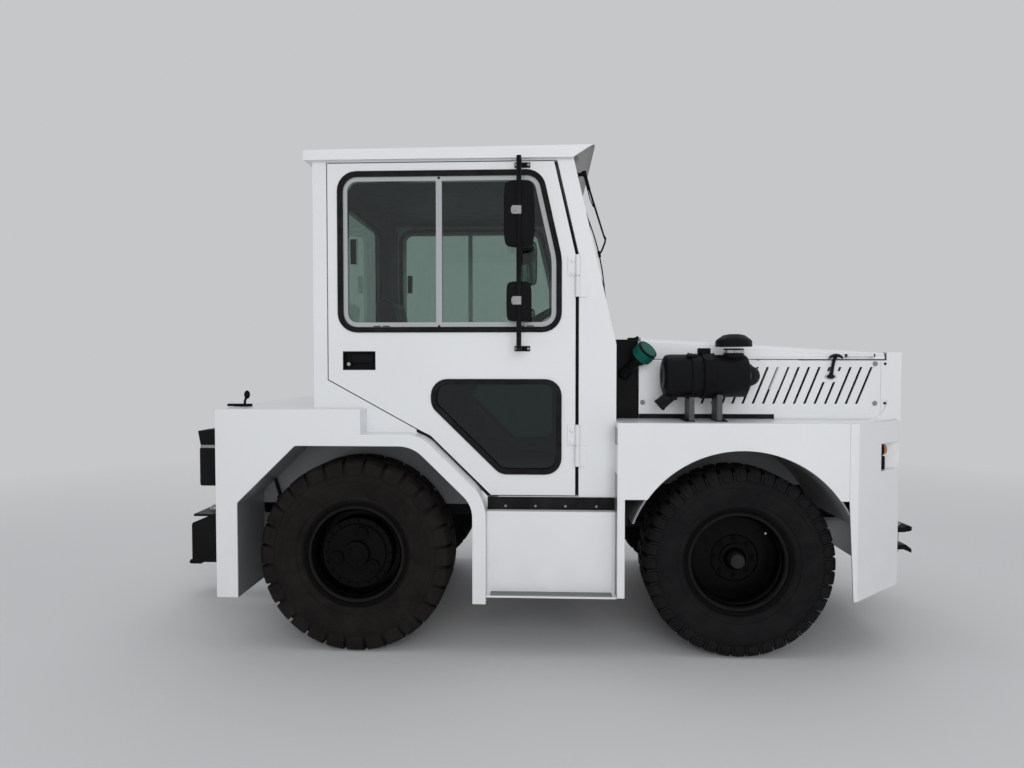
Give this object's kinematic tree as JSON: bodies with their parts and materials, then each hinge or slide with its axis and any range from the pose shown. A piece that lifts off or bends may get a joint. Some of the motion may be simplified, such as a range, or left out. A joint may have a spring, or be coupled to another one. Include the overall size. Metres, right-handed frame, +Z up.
{
  "type": "airport baggage tug",
  "caption": "Diesel tow tractor for baggage trains: full cab with side doors, hinged hood, external air cleaner, steered front axle and stepped rear tow coupling.",
  "frame": {"origin": "ground level under the middle of the box, halfway between the tips of the two tow couplings", "axes": "+X forward, +Y to the vehicle's left, +Z up"},
  "size_m": [3.794, 1.638, 2.19],
  "materials": {
    "body_paint": "glossy white",
    "black_paint": "satin black",
    "chassis_paint": "matt black",
    "rubber": "matt",
    "tyre": "matt",
    "glass": "tinted green",
    "alloy": "satin",
    "plastic": "textured black",
    "trim": "dark grey green",
    "fabric": "woven dark grey",
    "lamp_glass": "clear",
    "lamp_amber": "amber",
    "cast": "painted grey",
    "steel": "worn"
  },
  "bodies": {
    "chassis": {"frame": "chassis_paint", "rear_deck": "body_paint", "rear_fenders": "body_paint", "rear_wells": "body_paint", "front_decks": "body_paint", "front_fenders": "body_paint", "front_wells": "body_paint", "front_mask": "body_paint", "cab_shell": "body_paint", "cab_roof": "body_paint", "cab_floor": "trim", "cab_seals": "rubber", "cab_glass": "glass", "wiper": "black_paint", "dashboard": "trim", "seat": "fabric", "door_hinges": "body_paint", "hood_latches": "rubber", "side_grilles": "body_paint", "front_grille": "black_paint", "radiator": "chassis_paint", "engine": "cast", "hydraulic_tank": "black_paint", "air_cleaner": "plastic", "air_cleaner_mount": "black_paint", "air_elbow": "rubber", "front_lamps": "lamp_glass", "tail_lamps": "plastic", "steps": "body_paint", "sills": "rubber", "rear_coupling": "black_paint", "jaw_plates": "black_paint", "front_coupling": "black_paint", "coupling_pins": "steel", "release_lever": "black_paint", "front_axle": "chassis_paint", "rear_axle": "chassis_paint"},
    "door_left": {"door_left": "body_paint", "door_glass_left": "glass", "door_seal_left": "rubber", "window_frame_left": "alloy", "mirror_left": "plastic"},
    "door_right": {"door_right": "body_paint", "door_glass_right": "glass", "door_seal_right": "rubber", "window_frame_right": "alloy", "mirror_right": "plastic"},
    "hood": {"hood": "body_paint"},
    "steering_wheel": {"steering_wheel": "plastic"},
    "knuckle_left": {"knuckle_left": "chassis_paint"},
    "knuckle_right": {"knuckle_right": "chassis_paint"},
    "tie_rod": {"tie_rod": "chassis_paint"},
    "wheel_front_left": {"rim_front_left": "black_paint", "tyre_front_left": "tyre"},
    "wheel_front_right": {"rim_front_right": "black_paint", "tyre_front_right": "tyre"},
    "wheel_rear_left": {"rim_rear_left": "black_paint", "tyre_rear_left": "tyre"},
    "wheel_rear_right": {"rim_rear_right": "black_paint", "tyre_rear_right": "tyre"}
  },
  "joints": [
    {"name": "door_left_hinge", "type": "hinge", "parent": "chassis", "child": "door_left", "pos_m": [0.12927, 0.702, 1.2], "axis": [0, 0, -1], "range_deg": [0, 85]},
    {"name": "door_right_hinge", "type": "hinge", "parent": "chassis", "child": "door_right", "pos_m": [0.12927, -0.702, 1.2], "axis": [0, 0, 1], "range_deg": [0, 85]},
    {"name": "hood_hinge", "type": "hinge", "parent": "chassis", "child": "hood", "pos_m": [0.4145, 0, 1.373], "axis": [0, -1, 0], "range_deg": [0, 55]},
    {"name": "steer_left", "type": "hinge", "parent": "chassis", "child": "knuckle_left", "pos_m": [0.815, 0.506, 0.405], "axis": [0, 0, 1], "range_deg": [-35, 35]},
    {"name": "steer_right", "type": "hinge", "parent": "chassis", "child": "knuckle_right", "pos_m": [0.815, -0.506, 0.405], "axis": [0, 0, 1], "range_deg": [-35, 35]},
    {"name": "tie_rod_pivot", "type": "hinge", "parent": "knuckle_left", "child": "tie_rod", "pos_m": [0.665, 0.506, 0.337], "axis": [0, 0, 1], "range_deg": [-35, 35]},
    {"name": "steering_column", "type": "hinge", "parent": "chassis", "child": "steering_wheel", "pos_m": [-0.12556, 0.21, 1.45099], "axis": [-0.5299, 0, 0.848], "range_deg": [-420, 420]},
    {"name": "wheel_front_left_spin", "type": "hinge", "parent": "knuckle_left", "child": "wheel_front_left", "pos_m": [0.815, 0.65, 0.405], "axis": [0, 1, 0], "continuous": true},
    {"name": "wheel_front_right_spin", "type": "hinge", "parent": "knuckle_right", "child": "wheel_front_right", "pos_m": [0.815, -0.65, 0.405], "axis": [0, 1, 0], "continuous": true},
    {"name": "wheel_rear_left_spin", "type": "hinge", "parent": "chassis", "child": "wheel_rear_left", "pos_m": [-0.835, 0.65, 0.42], "axis": [0, 1, 0], "continuous": true},
    {"name": "wheel_rear_right_spin", "type": "hinge", "parent": "chassis", "child": "wheel_rear_right", "pos_m": [-0.835, -0.65, 0.42], "axis": [0, 1, 0], "continuous": true}
  ],
  "couplings": [
    {"joint": "steer_right", "follows": "steer_left", "ratio": 1},
    {"joint": "tie_rod_pivot", "follows": "steer_left", "ratio": -1},
    {"joint": "steering_column", "follows": "steer_left", "ratio": 12}
  ]
}
